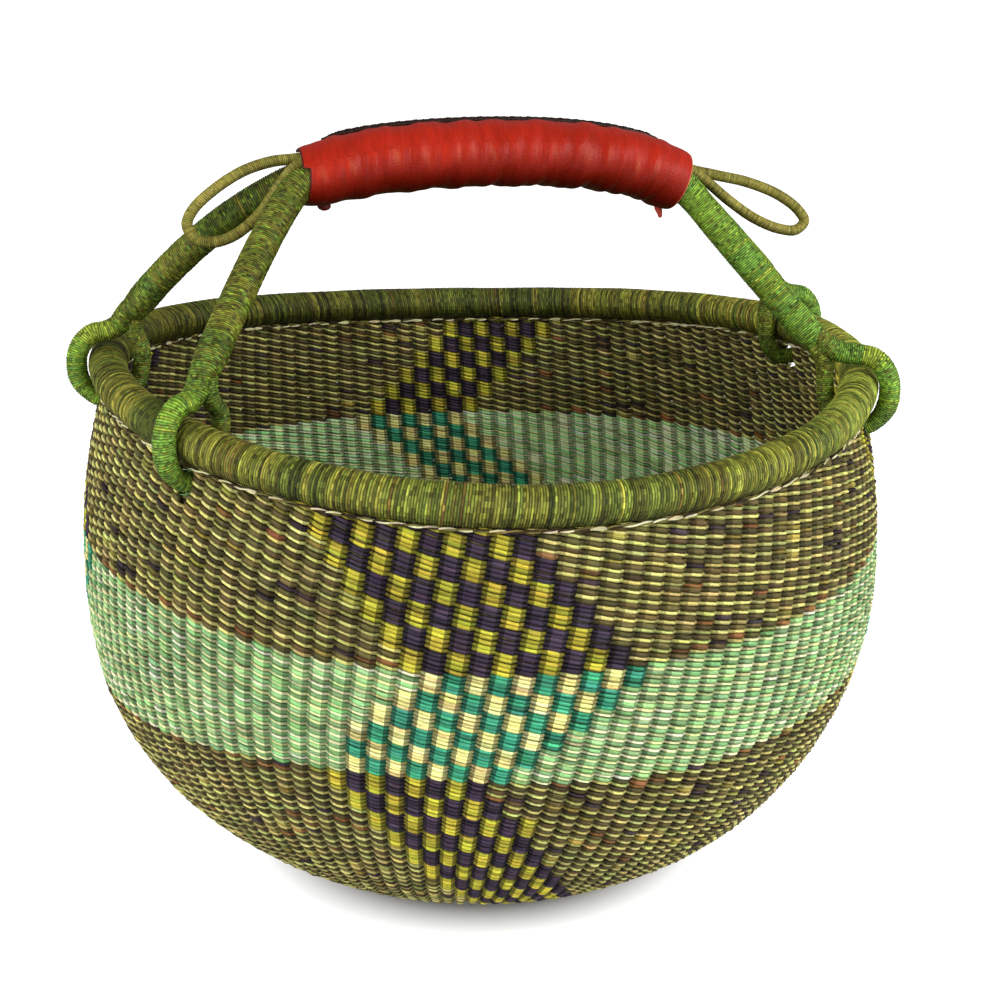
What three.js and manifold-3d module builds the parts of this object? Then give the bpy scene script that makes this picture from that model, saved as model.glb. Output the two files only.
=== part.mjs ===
// A round market basket twined from dyed grass, with a wrapped rim and a leather-covered handle.
// Millimetres, +Z up. The origin is the middle of the flat the basket stands on, and +X runs
// along the handle. Seen from the front, -Y is near and +X is to the right.

import * as THREE from 'three';
import { mergeVertices } from 'three/addons/utils/BufferGeometryUtils.js';
import Module from 'manifold-3d';

const wasm = await Module();
wasm.setup();

// The woven wall
const FOOT_R = 50;            // flat that the basket stands on
const BELLY_R = 197.3;        // widest outer radius
const BELLY_Z = 152;          // height of the widest place
const LEAN_IN = 8.3;          // how much narrower the wall is at the height of the rim's middle
const WALL = 6;               // thickness of the twined wall, over its stakes
const HOLLOW_OUTSIDE = 2.1;   // how much the wall draws in between its stakes
const HOLLOW_INSIDE = 1.5;
const TOP_R = BELLY_R - LEAN_IN;
const BASE_TOP_Z = 30;        // where the base goes over into the lower band
const TEAL_BOTTOM_Z = 117;
const TEAL_TOP_Z = 174.3;

// The rim: a grass bundle on the wall's edge, wrapped in grass
const RIM_TUBE_R = 9;
const RIM_OVERHANG = 7;       // how far the rim stands out beyond the wall
const RIM_R = TOP_R + RIM_OVERHANG - RIM_TUBE_R;
const RIM_Z = 246.5;
const RIM_WRAP = 2.8;
const EDGE_CORD_R = 1.1;

// The rim isn't flat: the handle holds it up at both ends, a little more on the left
const SADDLE = 8;
const SADDLE_TURN = THREE.MathUtils.degToRad(-6);
const LEFT_RISE = 3;
const LIFT_START_Z = 100;
const PULL_IN = 5.5;          // how far the handle draws the rim in at both ends

// The handle: two wrapped bows side by side, with leather sewn round their middle
const HANDLE_X = -2;          // middle of the leather
const HANDLE_Y = -30;
const BOW_R = 7.2;
const BOW_SPACING = 15;
const GRIP_RISE = 110.3;      // the grip's middle line at its highest, above the rim's
const GRIP_Z = RIM_Z + GRIP_RISE;
const GRIP_LEFT = [-90, -10.1];
const GRIP_LEFT_MIDDLE = [-58, -2.5];
const GRIP_TOP = [-12, 0];
const GRIP_RIGHT_MIDDLE = [40, -3.1];
const GRIP_RIGHT = [92, -18.2];
const LEATHER = 1.2;
const SLEEVE_ROOM = 0.7;      // between a bow's side and the leather
const GRIP_HALF_WIDTH = BOW_SPACING / 2 + BOW_R + SLEEVE_ROOM + LEATHER;
const GRIP_HALF_HEIGHT = 15.8;
const PADDING_SETBACK = 7;
const PADDING_SPREAD = THREE.MathUtils.degToRad(66);
const SEAM_WIDTH = 4;
const SEAM_THICKNESS = 2;
const SEAM_SETBACK = 15;
const SEAM_ANGLE = THREE.MathUtils.degToRad(22);
const LACE_END = [3.4, 2.2, 6];
const LACE_END_SETBACK = 12;

// The loops that hold the handle to the rim
const STRAND_R = 5;
const STRAND_SIDE_GAP = 1;
const LOOP_SQUARE = 0.75;
const SLOT_SIDE = 1.5;
const FORK_IN = 17;
const FORK_UP = 25;
const FORK_LENGTH = 12;
const LEG_BEND = 12;
const ROCK = THREE.MathUtils.degToRad(2);
const LOOP_ANGLES = { front_left: 213, back_left: 175.5, front_right: -31, back_right: 10 };

// The hanging loops of twisted cord
const HANG_CORD_R = 2.25;
const HANG_SPACING = 5.6;

const GAP = 0.3;
const ROUND = 48;             // sides of everything that goes round the basket, and ribs of its wall
const RIM_SIDES = 9;          // sides of the rim's own round section

const COLOURS = {
  dark: 0x4d4222,
  teal: 0x8dbb8b,
  green: 0x7c8c2a,
  straw: 0xcfc48e,
  bow: 0x6f9438,
  leather: 0xb8301c,
  seam: 0x2a1712,
  cord: 0x8f8a3c,
};

const part = new THREE.Group();

function addMesh(name, geometry, colour, roughness = 0.75) {
  const material = new THREE.MeshStandardMaterial({ color: colour, roughness, metalness: 0 });
  const mesh = new THREE.Mesh(geometry, material);
  mesh.name = name;
  part.add(mesh);
}

// Shape of the wall

// The wall's outer radius and its outward direction in the (r, z) plane at a height.
function wallAt(z) {
  if (z < BELLY_Z) {
    const turn = Math.acos(1 - z / BELLY_Z);
    const r = FOOT_R + (BELLY_R - FOOT_R) * Math.sin(turn);
    const out = new THREE.Vector2(BELLY_Z * Math.sin(turn), -(BELLY_R - FOOT_R) * Math.cos(turn));
    return { r, z, out: out.normalize() };
  }
  const share = (z - BELLY_Z) / (RIM_Z - BELLY_Z);
  const r = BELLY_R - (BELLY_R - TOP_R) * share * share;
  const slope = (-2 * (BELLY_R - TOP_R) * share) / (RIM_Z - BELLY_Z);
  return { r, z, out: new THREE.Vector2(1, -slope).normalize() };
}

function wallPoint(z, depth) {
  const at = wallAt(z);
  return new THREE.Vector2(at.r - at.out.x * depth, at.z - at.out.y * depth);
}

// How far the rim is held up at an angle about Z.
function rimLift(angle) {
  return SADDLE * Math.cos(2 * (angle - SADDLE_TURN)) - LEFT_RISE * Math.cos(angle);
}

// How much nearer the middle the rim lies at an angle about Z.
function rimPull(angle) {
  return PULL_IN * Math.cos(angle) ** 2;
}

// What a height has of the rim's displacement, from 0 at a given height to 1 just under the rim.
function shareAt(z, fromZ) {
  const full = RIM_Z - RIM_TUBE_R - 2 * EDGE_CORD_R;
  return THREE.MathUtils.clamp((z - fromZ) / (full - fromZ), 0, 1);
}

function closed(geometry) {
  geometry.deleteAttribute('normal');
  geometry.deleteAttribute('uv');
  return mergeVertices(geometry, 1e-4);
}

// A closed outline of (r, z) points turned about Z. The handle draws the rim in and up at both
// ends, and what is below follows, less and less towards the belly and the foot. Where an outline
// of hollows is given, the two take turns, and the first stands out as ribs.
function turned(outline, hollows = null) {
  const sides = hollows ? 2 * ROUND : ROUND;
  const lathe = new THREE.LatheGeometry(outline, sides);
  for (let side = 1; hollows && side < sides; side += 2) {
    const turn = (2 * Math.PI * side) / sides;
    hollows.forEach((point, i) => {
      const [x, z] = [point.x * Math.sin(turn), point.x * Math.cos(turn)];
      lathe.attributes.position.setXYZ(side * outline.length + i, x, point.y, z);
    });
  }
  const geometry = closed(lathe);
  geometry.rotateX(Math.PI / 2);
  const place = geometry.attributes.position;
  for (let i = 0; i < place.count; i += 1) {
    const [x, y, z] = [place.getX(i), place.getY(i), place.getZ(i)];
    const angle = Math.atan2(y, x);
    const r = Math.hypot(x, y) - shareAt(z, BELLY_Z) ** 2 * rimPull(angle);
    const lift = shareAt(z, LIFT_START_Z) * rimLift(angle);
    place.setXYZ(i, r * Math.cos(angle), r * Math.sin(angle), z + lift);
  }
  return outward(geometry);
}

function signedVolume(geometry) {
  const place = geometry.attributes.position;
  const index = geometry.index.array;
  const [a, b, c] = [new THREE.Vector3(), new THREE.Vector3(), new THREE.Vector3()];
  let six = 0;
  for (let i = 0; i < index.length; i += 3) {
    a.fromBufferAttribute(place, index[i]);
    b.fromBufferAttribute(place, index[i + 1]);
    c.fromBufferAttribute(place, index[i + 2]);
    six += a.dot(b.cross(c));
  }
  return six / 6;
}

function outward(geometry) {
  if (signedVolume(geometry) < 0) {
    const index = geometry.index.array;
    for (let i = 0; i < index.length; i += 3) {
      [index[i + 1], index[i + 2]] = [index[i + 2], index[i + 1]];
    }
  }
  return geometry;
}

function toSolid(geometry) {
  const merged = geometry.index && !geometry.attributes.normal ? geometry : closed(geometry);
  const vertProperties = new Float32Array(merged.attributes.position.array);
  const triVerts = new Uint32Array(outward(merged).index.array);
  return new wasm.Manifold(new wasm.Mesh({ numProp: 3, vertProperties, triVerts }));
}

function toGeometry(solid) {
  const mesh = solid.getMesh();
  const geometry = new THREE.BufferGeometry();
  geometry.setAttribute('position', new THREE.BufferAttribute(mesh.vertProperties, 3));
  geometry.setIndex(new THREE.BufferAttribute(mesh.triVerts, 1));
  return geometry;
}

// Tubes along a path

function round(radius, sides) {
  const shape = new THREE.Shape();
  for (let i = 0; i < sides; i += 1) {
    const angle = (2 * Math.PI * (i + 0.5)) / sides;
    const corner = [radius * Math.cos(angle), radius * Math.sin(angle)];
    if (i === 0) shape.moveTo(...corner);
    else shape.lineTo(...corner);
  }
  return shape;
}

function along(path, steps, shape) {
  return closed(new THREE.ExtrudeGeometry(shape, { steps, extrudePath: path, curveSegments: 12 }));
}

function smooth(points, loop = false) {
  return new THREE.CatmullRomCurve3(points, loop, 'centripetal');
}

// The woven wall: a base and three bands, each standing on the one below

// Runs evenly along the wall's section, so that a band's steps are alike in length.
function reachOf(z) {
  if (z < BELLY_Z) return Math.acos(1 - z / BELLY_Z);
  return Math.PI / 2 + (z - BELLY_Z) / BELLY_Z;
}

function heightOf(reach) {
  if (reach < Math.PI / 2) return BELLY_Z * (1 - Math.cos(reach));
  return BELLY_Z + (reach - Math.PI / 2) * BELLY_Z;
}

// The hollow is how much deeper the run lies between the stakes. It runs out across the base.
function wallRun(fromZ, toZ, steps, depth, hollow) {
  const run = [];
  for (let i = 0; i <= steps; i += 1) {
    const reach = THREE.MathUtils.lerp(reachOf(fromZ), reachOf(toZ), i / steps);
    const share = Math.min(1, reach / reachOf(BASE_TOP_Z));
    run.push(wallPoint(heightOf(reach), depth + share * hollow));
  }
  return run;
}

// Up the outside and down the inside, over a stake (0) or between two stakes (1).
function wallFaces(fromZ, toZ, steps, between) {
  const outer = wallRun(fromZ, toZ, steps, 0, between * HOLLOW_OUTSIDE);
  const inner = wallRun(fromZ, toZ, steps, WALL, -between * HOLLOW_INSIDE);
  return [...outer, ...inner.reverse()];
}

function band(fromZ, toZ, steps) {
  const outlines = [0, 1].map((between) => wallFaces(fromZ, toZ, steps, between));
  return turned(...outlines.map((outline) => [...outline, outline[0]]));
}

function base() {
  const [under, inside] = [new THREE.Vector2(0, 0), new THREE.Vector2(0, WALL)];
  return turned(...[0, 1].map((between) => [under, ...wallFaces(0, BASE_TOP_Z, 3, between), inside]));
}

// The rim

function rimPoint(angle, out, up) {
  const r = RIM_R + out - rimPull(angle);
  return new THREE.Vector3(r * Math.cos(angle), r * Math.sin(angle), RIM_Z + rimLift(angle) + up);
}

function arc(radius, from, to, steps) {
  const points = [];
  for (let i = 0; i <= steps; i += 1) {
    const turn = THREE.MathUtils.lerp(from, to, i / steps);
    points.push(new THREE.Vector2(RIM_R + radius * Math.sin(turn), RIM_Z + radius * Math.cos(turn)));
  }
  return points;
}

const wallTopZ = RIM_Z - RIM_TUBE_R + RIM_WRAP - GAP;
const edgeOut = wallPoint(RIM_Z - RIM_TUBE_R - 2 * EDGE_CORD_R, 0).x - RIM_R + GAP;
const edgeIn = RIM_R - wallPoint(wallTopZ, WALL).x + GAP;

function rimCore() {
  const flats = (RIM_TUBE_R - RIM_WRAP) * Math.cos(Math.PI / RIM_SIDES);
  const core = arc(flats - GAP, 0, 2 * Math.PI, RIM_SIDES);
  core[core.length - 1] = core[0];
  return turned(core);
}

// The wrap is open below, where it takes in the wall's edge.
function rimWrap() {
  const inner = RIM_TUBE_R - RIM_WRAP;
  const outside = arc(
    RIM_TUBE_R,
    Math.asin(edgeIn / RIM_TUBE_R) - Math.PI,
    Math.PI - Math.asin(edgeOut / RIM_TUBE_R),
    RIM_SIDES,
  );
  const inside = arc(
    inner,
    Math.PI - Math.asin(edgeOut / inner),
    Math.asin(edgeIn / inner) - Math.PI,
    RIM_SIDES - 2,
  );
  return turned([...outside, ...inside, outside[0]]);
}

// A twined cord lies in the corner between the wall and the rim, outside (+1) and inside (-1).
function edgeCordOut(side) {
  return side * ((side > 0 ? edgeOut : edgeIn) + EDGE_CORD_R);
}

function edgeCordDown(side) {
  const reach = RIM_TUBE_R + EDGE_CORD_R + GAP;
  return Math.sqrt(reach * reach - edgeCordOut(side) ** 2);
}

function edgeCord(side) {
  const out = edgeCordOut(side);
  const down = edgeCordDown(side);
  const ring = [];
  for (let i = 0; i < 5; i += 1) {
    const turn = (2 * Math.PI * i) / 5;
    const x = RIM_R + out + EDGE_CORD_R * Math.cos(turn);
    ring.push(new THREE.Vector2(x, RIM_Z - down + EDGE_CORD_R * Math.sin(turn)));
  }
  return turned([...ring, ring[0]]);
}

// The loops round the rim

// How far a loop rises or sinks as the handle rocks.
function travel(angle) {
  const reach = Math.abs(RIM_R * Math.sin(angle) - HANDLE_Y);
  return reach * Math.tan(ROCK) + 2 * GAP;
}

const edgeLow = Math.max(edgeCordDown(1), edgeCordDown(-1)) + EDGE_CORD_R;

function underRim(angle) {
  return edgeLow + travel(angle) + STRAND_R;
}

function forkPoint(angle) {
  return rimPoint(angle, -FORK_IN, FORK_UP);
}

// The strand's middle line: round under the rim, and up on the inside to the fork.
function strandPath(angle) {
  const side = RIM_TUBE_R + STRAND_SIDE_GAP + STRAND_R;
  const under = underRim(angle);
  const points = [];
  for (let turn = 0; turn <= 180; turn += 30) {
    const out = Math.cos(THREE.MathUtils.degToRad(turn));
    const down = Math.sin(THREE.MathUtils.degToRad(turn));
    const square = Math.sign(out) * Math.abs(out) ** LOOP_SQUARE;
    points.push(rimPoint(angle, side * square, -under * Math.abs(down) ** LOOP_SQUARE));
  }
  points.push(rimPoint(angle, -1.1 * side, 0.5 * under));
  points.push(rimPoint(angle, -0.94 * FORK_IN, 0.71 * FORK_UP));
  points.push(rimPoint(angle, -0.76 * FORK_IN, 0.94 * FORK_UP));
  points.push(rimPoint(angle, -0.7 * side, 0.92 * FORK_UP));
  points.push(rimPoint(angle, 0, 1.06 * under));
  points.push(rimPoint(angle, 0.77 * side, 0.76 * under));
  return smooth(points, true);
}

function slot(angle, halfWidth, low, high) {
  const length = 2 * (RIM_TUBE_R + 2 * STRAND_R);
  const box = new THREE.BoxGeometry(length, 2 * halfWidth, high - low);
  box.rotateZ(angle);
  const middle = rimPoint(angle, 0, (low + high) / 2);
  box.translate(middle.x, middle.y, middle.z);
  return toSolid(box);
}

function cutAtLoops(geometry) {
  let solid = toSolid(geometry);
  for (const degrees of Object.values(LOOP_ANGLES)) {
    const angle = THREE.MathUtils.degToRad(degrees);
    const low = -(underRim(angle) + STRAND_R + travel(angle));
    solid = solid.subtract(slot(angle, STRAND_R + SLOT_SIDE, low, -edgeLow));
  }
  return toGeometry(solid);
}

addMesh('base_weave', base(), COLOURS.dark);
addMesh('lower_band', band(BASE_TOP_Z + GAP, TEAL_BOTTOM_Z - GAP, 5), COLOURS.dark);
addMesh('teal_band', band(TEAL_BOTTOM_Z, TEAL_TOP_Z, 3), COLOURS.teal);
const upperBand = band(TEAL_TOP_Z + GAP, wallTopZ, 3);
addMesh('upper_band', cutAtLoops(upperBand), COLOURS.dark);
addMesh('rim_core', rimCore(), COLOURS.straw);
addMesh('rim_wrap', rimWrap(), COLOURS.green);
addMesh('edge_cord_outer', edgeCord(1), COLOURS.straw);
addMesh('edge_cord_inner', edgeCord(-1), COLOURS.straw);

// The handle

// Points of the handle are [x, height above the grip's highest middle].
function onHandle([x, up], across = 0) {
  return new THREE.Vector3(HANDLE_X + x, HANDLE_Y + across, GRIP_Z + up);
}

const GRIP_POINTS = [GRIP_LEFT, GRIP_LEFT_MIDDLE, GRIP_TOP, GRIP_RIGHT_MIDDLE, GRIP_RIGHT];

function gripPath(across = 0) {
  return smooth(GRIP_POINTS.map((point) => onHandle(point, across)));
}

// A stretch of the grip's middle line, with a setback at each end.
function gripStretch(setback, across = 0) {
  const whole = gripPath(across);
  const share = setback / whole.getLength();
  const points = [];
  for (let i = 0; i <= 8; i += 1) {
    points.push(whole.getPointAt(THREE.MathUtils.lerp(share, 1 - share, i / 8)));
  }
  return smooth(points);
}

// A leg runs on from the grip's end, bends down and goes straight to its fork.
function legPoints(gripEnd, outwards, angle) {
  const bend = gripEnd.clone().addScaledVector(outwards, LEG_BEND);
  const fork = forkPoint(angle);
  const down = fork.clone().sub(bend).normalize();
  fork.addScaledVector(down, -FORK_LENGTH - GAP);
  return new THREE.QuadraticBezierCurve3(gripEnd, bend, fork).getSpacedPoints(8).slice(1);
}

// From the fork at one end through the grip to the fork at the other.
function bowPath(leftAngle, rightAngle, across) {
  const grip = gripPath(across);
  const left = legPoints(grip.getPointAt(0), grip.getTangentAt(0).negate(), leftAngle);
  const right = legPoints(grip.getPointAt(1), grip.getTangentAt(1), rightAngle);
  return smooth([...left.reverse(), ...grip.getSpacedPoints(12), ...right]);
}

// A loop round the rim, with the end of the wrapped bundle that it comes out of.
function rimLoop(angle, path, atEnd) {
  const fork = path.getPointAt(atEnd);
  const down = path.getTangentAt(atEnd).multiplyScalar(atEnd === 1 ? 1 : -1);
  const from = fork.clone().addScaledVector(down, GAP);
  const to = fork.clone().addScaledVector(down, FORK_LENGTH + STRAND_R / 2);
  const stem = along(new THREE.LineCurve3(from, to), 1, round(BOW_R, 10));
  const strand = closed(new THREE.TubeGeometry(strandPath(angle), 28, STRAND_R, 8, true));
  return toGeometry(toSolid(stem).add(toSolid(strand)));
}

function bow(path, radius) {
  return along(path, 32, round(radius, 10));
}

const bows = { front: -BOW_SPACING / 2, back: BOW_SPACING / 2 };
const bowPaths = [];
for (const [side, across] of Object.entries(bows)) {
  const leftAngle = THREE.MathUtils.degToRad(LOOP_ANGLES[`${side}_left`]);
  const rightAngle = THREE.MathUtils.degToRad(LOOP_ANGLES[`${side}_right`]);
  const path = bowPath(leftAngle, rightAngle, across);
  bowPaths.push(path);
  addMesh(`${side}_bow`, bow(path, BOW_R), COLOURS.bow);
  addMesh(`rim_loop_${side}_left`, rimLoop(leftAngle, path, 0), COLOURS.bow);
  addMesh(`rim_loop_${side}_right`, rimLoop(rightAngle, path, 1), COLOURS.bow);
}

// The leather sleeve and the grass padding that rounds the two bows inside it

function oval(halfWidth, halfHeight) {
  const shape = new THREE.Shape();
  shape.absellipse(0, 0, halfWidth, halfHeight, 0, 2 * Math.PI);
  return shape;
}

function leatherGrip() {
  const shape = oval(GRIP_HALF_WIDTH, GRIP_HALF_HEIGHT);
  shape.holes.push(oval(GRIP_HALF_WIDTH - LEATHER, GRIP_HALF_HEIGHT - LEATHER));
  return outward(along(gripPath(), 12, shape));
}

// The padding above the bows (+1) or below them (-1).
function padding(side) {
  const inside = LEATHER + 2 * GAP;
  const middle = -side * Math.PI / 2;
  const shape = new THREE.Shape();
  shape.absellipse(
    0,
    0,
    GRIP_HALF_WIDTH - inside,
    GRIP_HALF_HEIGHT - inside,
    middle - PADDING_SPREAD,
    middle + PADDING_SPREAD,
  );
  let solid = toSolid(along(gripStretch(PADDING_SETBACK), 10, shape));
  for (const path of bowPaths) solid = solid.subtract(toSolid(bow(path, BOW_R + GAP)));
  return toGeometry(solid);
}

function seam() {
  const lift = GAP + SEAM_THICKNESS / 2;
  const out = GRIP_HALF_WIDTH + lift;
  const up = GRIP_HALF_HEIGHT + lift;
  const middle = [out * Math.sin(SEAM_ANGLE), up * Math.cos(SEAM_ANGLE)];
  const shape = new THREE.Shape();
  const corners = [[-1, -1], [1, -1], [1, 1], [-1, 1]];
  corners.forEach(([wide, thick], i) => {
    const w = (wide * SEAM_WIDTH) / 2;
    const t = (thick * SEAM_THICKNESS) / 2;
    const y = middle[0] + w * Math.cos(SEAM_ANGLE) + t * Math.sin(SEAM_ANGLE);
    const z = middle[1] - w * Math.sin(SEAM_ANGLE) + t * Math.cos(SEAM_ANGLE);
    if (i === 0) shape.moveTo(-y, -z);
    else shape.lineTo(-y, -z);
  });
  return outward(along(gripStretch(SEAM_SETBACK), 12, shape));
}

function laceEnd(atEnd) {
  const whole = gripPath();
  const share = LACE_END_SETBACK / whole.getLength();
  const place = atEnd === 0 ? share : 1 - share;
  const at = whole.getPointAt(place);
  const slope = whole.getTangentAt(place);
  const [wide, thick, long] = LACE_END;
  const box = new THREE.BoxGeometry(wide, thick, long);
  box.translate(0, 0, -GRIP_HALF_HEIGHT - GAP - long / 2);
  box.rotateY(-Math.atan2(slope.z, slope.x));
  box.translate(at.x, at.y, at.z);
  return closed(box);
}

addMesh('grip_leather', leatherGrip(), COLOURS.leather, 0.42);
addMesh('grip_padding_top', padding(1), COLOURS.straw);
addMesh('grip_padding_bottom', padding(-1), COLOURS.straw);
addMesh('grip_seam', seam(), COLOURS.seam, 0.5);
addMesh('lace_end_left', laceEnd(0), COLOURS.leather, 0.5);
addMesh('lace_end_right', laceEnd(1), COLOURS.leather, 0.5);

// The hanging loops, tucked under the leather at both ends above the bows

const LEFT_ROUTE = [
  [-88, 0.1], [-95, -0.5], [-104, -1.1], [-117, -4.7], [-130.5, -12.4], [-140.3, -20.9],
  [-143.2, -27.3], [-139.8, -33.5], [-132.6, -35.4], [-122.8, -32.7], [-111.4, -23.9],
  [-102.4, -12.3], [-95, -3.5], [-88, 0.1],
];
const RIGHT_ROUTE = [
  [90.4, -8.1], [98, -11.9], [113, -15.7], [128.6, -19.5], [144.8, -26.1], [155.6, -33.9],
  [159, -39.5], [154.8, -43.4], [145.6, -42.4], [132.4, -36.8], [118.8, -27.7], [106, -17.5],
  [98, -12.3], [90.4, -8.1],
];

function hangLoop(route) {
  const last = route.length - 1;
  const points = route.map((point, i) => onHandle(point, HANG_SPACING * (0.5 - i / last)));
  return along(smooth(points), 30, round(HANG_CORD_R, 8));
}

addMesh('hang_loop_left', hangLoop(LEFT_ROUTE), COLOURS.cord);
addMesh('hang_loop_right', hangLoop(RIGHT_ROUTE), COLOURS.cord);

part.name = 'market_basket';
export default part;
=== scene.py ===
# The looks of a round market basket: twined weave, wrapped rim and handle, leather grip.
# Lengths are in millimetres until a mesh is made. +Z is up, -Y is near and +X is to the right.

from collections import namedtuple

import bpy
import numpy as np
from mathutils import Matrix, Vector
from numpy import arange, array, clip, concatenate, cos, exp, interp, linspace, pi, radians
from numpy import sin, stack, vstack, where
from numpy.random import default_rng


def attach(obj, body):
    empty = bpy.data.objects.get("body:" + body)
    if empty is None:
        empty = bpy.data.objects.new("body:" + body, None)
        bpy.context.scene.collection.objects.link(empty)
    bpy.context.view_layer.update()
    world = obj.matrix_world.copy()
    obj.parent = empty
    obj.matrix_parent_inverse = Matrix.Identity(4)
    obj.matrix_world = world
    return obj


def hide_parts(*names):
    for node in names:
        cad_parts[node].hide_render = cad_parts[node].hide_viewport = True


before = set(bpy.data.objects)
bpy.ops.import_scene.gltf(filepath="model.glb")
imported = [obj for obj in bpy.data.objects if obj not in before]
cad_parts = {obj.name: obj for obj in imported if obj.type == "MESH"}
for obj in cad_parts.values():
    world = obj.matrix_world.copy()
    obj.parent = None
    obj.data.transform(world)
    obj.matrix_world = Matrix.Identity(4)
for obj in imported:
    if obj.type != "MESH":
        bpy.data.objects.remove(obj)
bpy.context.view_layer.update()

MM = 0.001

# The wall
FOOT_R = 50
BELLY_R = 197.3
BELLY_Z = 152
LEAN_IN = 8.3
TOP_R = BELLY_R - LEAN_IN
WALL = 6
BASE_TOP_Z = 30
TEAL_BOTTOM_Z = 117
TEAL_TOP_Z = 174.3

# The rim
RIM_TUBE_R = 9
RIM_R = TOP_R + 7 - RIM_TUBE_R
RIM_Z = 246.5
RIM_WRAP = 2.8
EDGE_CORD_R = 0.85
SADDLE = 8
SADDLE_TURN = radians(-6)
LEFT_RISE = 3
PULL_IN = 5.5
LEFT_PULL = 2.4
GAP = 0.3

# The handle
HANDLE_X = -2
HANDLE_Y = -30
BOW_R = 7.2
BOW_SPACING = 15
GRIP_Z = RIM_Z + 110.3
GRIP_POINTS = [(-90, -10.1), (-58, -3.4), (-12, -0.8), (40, -3.4), (70, -9.3), (92, -18.2)]
LEATHER = 1.2
SLEEVE_HALF_WIDTH = BOW_SPACING / 2 + BOW_R + 0.7 + LEATHER - 0.4
SLEEVE_HALF_HEIGHT = 14.9

# The loops round the rim: their angle about Z, how far out from the grip's end and how far down
# their leg bends, and where it parts into two strands, inwards from the rim's middle line and up
LOOPS = {
    "front_left": (radians(213), (12, 7), (6, 24)),
    "back_left": (radians(175.5), (40, 7), (10, 22)),
    "front_right": (radians(-31), (4, 5.8), (18, 19.5)),
    "back_right": (radians(10), (10, 3.2), (13.5, 24.4)),
}
STRAND_SIDE_GAP = 0.45
FORK_LENGTH = 12
ROCK = radians(2)
PLAY = 0.45               # room left over at the end of a loop's travel
LOOP_R = 5                # of the strands as they are drawn, over their wraps
LOOP_UNDER_R = 4.2        # where they are drawn tight through the weave
LOOP_INSIDE_R = 4.2       # and on their way up inside the rim
WEAVE_GIVES = 0.5         # the soft weave gives way so far at the end of the handle's play
HOLE_SIDE = 0.6           # room beside a strand in its hole through the weave
HOLE_R = LOOP_UNDER_R + HOLE_SIDE

# The hanging loops
HANG_CORD_R = 2.6
HANG_SPACING = 5.6


def colour(*display):
    """A display colour of 0 to 255, or several, as the linear values that meshes hold."""
    value = array(display) / 255
    return where(value <= 0.04045, value / 12.92, ((value + 0.055) / 1.055) ** 2.4)


def linked(name, data):
    """An object in the scene for a camera, a lamp or a mesh."""
    made = bpy.data.objects.new(name, data)
    bpy.context.scene.collection.objects.link(made)
    return made


def make_camera():
    data = bpy.data.cameras.new("camera")
    camera = linked("camera", data)
    data.lens = 65
    data.sensor_width = 36
    data.sensor_fit = "HORIZONTAL"
    data.clip_end = 50
    camera.location = (-0.2197, -0.82, 0.46925)
    camera.rotation_euler = radians((71.31, 0, -15.37))
    bpy.context.scene.camera = camera


make_camera()


# Curves and tubes

def turns(count):
    """So many even steps round a whole turn."""
    return 2 * pi * arange(count) / count


def reaches(points):
    """How far along a line each of its points lies."""
    return concatenate([[0], np.cumsum(np.linalg.norm(np.diff(points, axis=0), axis=1))])


def rows_at(at, reach, table):
    """Rows of a table that runs along a line, at other reaches along it."""
    return stack([interp(at, reach, column) for column in table.T], axis=-1)


def even(points, steps):
    """The same line as steps + 1 points that lie evenly along it."""
    reach = reaches(points)
    return rows_at(linspace(0, reach[-1], steps + 1), reach, np.asarray(points, float))


def length_of(points):
    return float(reaches(points)[-1])


def smooth(points, steps):
    """Even points on a centripetal Catmull-Rom curve through the given ones."""
    given = np.asarray(points, float)
    ends = vstack([2 * given[0] - given[1], given, 2 * given[-1] - given[-2]])
    share = linspace(0, 1, 24, endpoint=False)[:, None]
    fine = []
    for a, b, c, d in zip(ends, ends[1:], ends[2:], ends[3:]):
        before, here, after = (np.linalg.norm(q - p) ** 0.5 for p, q in ((a, b), (b, c), (c, d)))
        leave = ((b - a) / before - (c - a) / (before + here) + (c - b) / here) * here
        arrive = ((c - b) / here - (d - b) / (here + after) + (d - c) / after) * here
        cubic = (2 * b - 2 * c + leave + arrive) * share ** 3
        square = (-3 * b + 3 * c - 2 * leave - arrive) * share ** 2
        fine.append(cubic + square + leave * share + b)
    return even(vstack([*fine, given[-1:]]), steps)


def unit(vectors):
    return vectors / np.linalg.norm(vectors, axis=-1, keepdims=True)


def carried_frames(path):
    """The tangent and two square directions at each point, carried along without twisting."""
    tangent = unit(np.gradient(path, axis=0))
    first = np.empty_like(path)
    carried = array([0.0, 0.0, 1.0])
    for i, along in enumerate(tangent):
        carried = carried - along * (carried @ along)
        carried = carried / np.linalg.norm(carried)
        first[i] = carried
    return tangent, first, np.cross(tangent, first)


def face_corners(along, across):
    """Flat places of the four corners of each face of a grid, from its steps along and across."""
    low, bottom = np.meshgrid(along[:-1], across[:-1], indexing="ij")
    far, top = np.meshgrid(along[1:], across[1:], indexing="ij")
    corners = [(low, bottom), (low, top), (far, top), (far, bottom)]
    return stack([stack(corner, axis=2) for corner in corners], axis=2).reshape(-1, 2)


FIBRE_APART = (41.3, 17.9)    # keeps the streaks of one tube from recurring on the next
SHELF_ROOM = 1.1              # of a shelf on the unit square, times what stands on it


def fill(values, key, numbers):
    """Hands numbers to one of a mesh's long lists in one go."""
    values.foreach_set(key, np.asarray(numbers, np.float32).ravel())


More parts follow.
